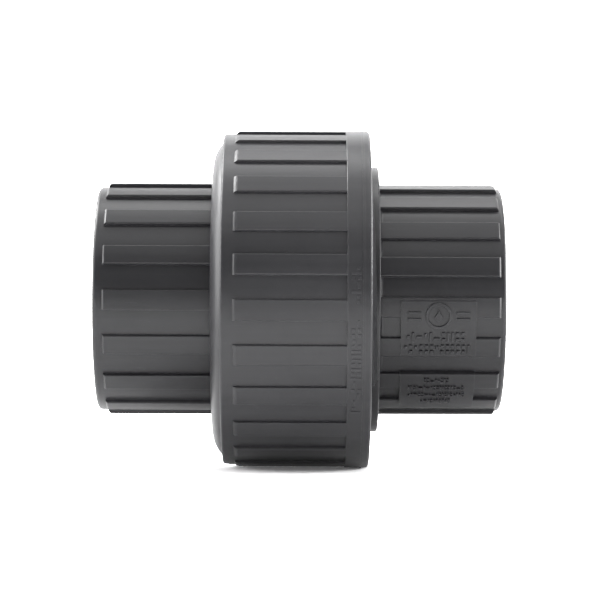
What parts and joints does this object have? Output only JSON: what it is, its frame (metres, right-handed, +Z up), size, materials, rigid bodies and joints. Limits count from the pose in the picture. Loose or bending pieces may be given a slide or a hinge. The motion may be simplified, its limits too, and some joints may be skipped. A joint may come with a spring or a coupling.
{
  "type": "pipe union fitting",
  "caption": "Moulded plastic pipe union with two ribbed solvent-weld sockets, a knurled threaded nut and an O-ring face seal, for joining and parting a pipe.",
  "frame": {"origin": "on the pipe axis, half way between the two ends", "axes": "+X along the pipe axis towards the threaded body's socket, +Z up, -Y towards the viewer"},
  "size_m": [0.063, 0.0532, 0.0532],
  "materials": {
    "tailpiece_plastic": "moulded dark grey rigid PVC, semi-gloss",
    "body_plastic": "moulded dark grey rigid PVC, semi-gloss",
    "nut_plastic": "moulded dark grey rigid PVC, semi-gloss",
    "seal_rubber": "black EPDM rubber, matte"
  },
  "bodies": {
    "threaded_body": {"threaded_body": "body_plastic", "o_ring": "seal_rubber"},
    "tailpiece": {"tailpiece": "tailpiece_plastic"},
    "nut": {"union_nut": "nut_plastic"}
  },
  "joints": [
    {"name": "tailpiece_slide", "type": "slide", "parent": "threaded_body", "child": "tailpiece", "axis": [-1, 0, 0], "range_m": [0, 0.014]},
    {"name": "nut_turn", "type": "hinge", "parent": "tailpiece", "child": "nut", "pos_m": [0, 0, 0], "axis": [-1, 0, 0], "range_deg": [0, 1680]}
  ],
  "couplings": [
    {"joint": "tailpiece_slide", "follows": "nut_turn", "m_per_rad": 0.00047746}
  ]
}
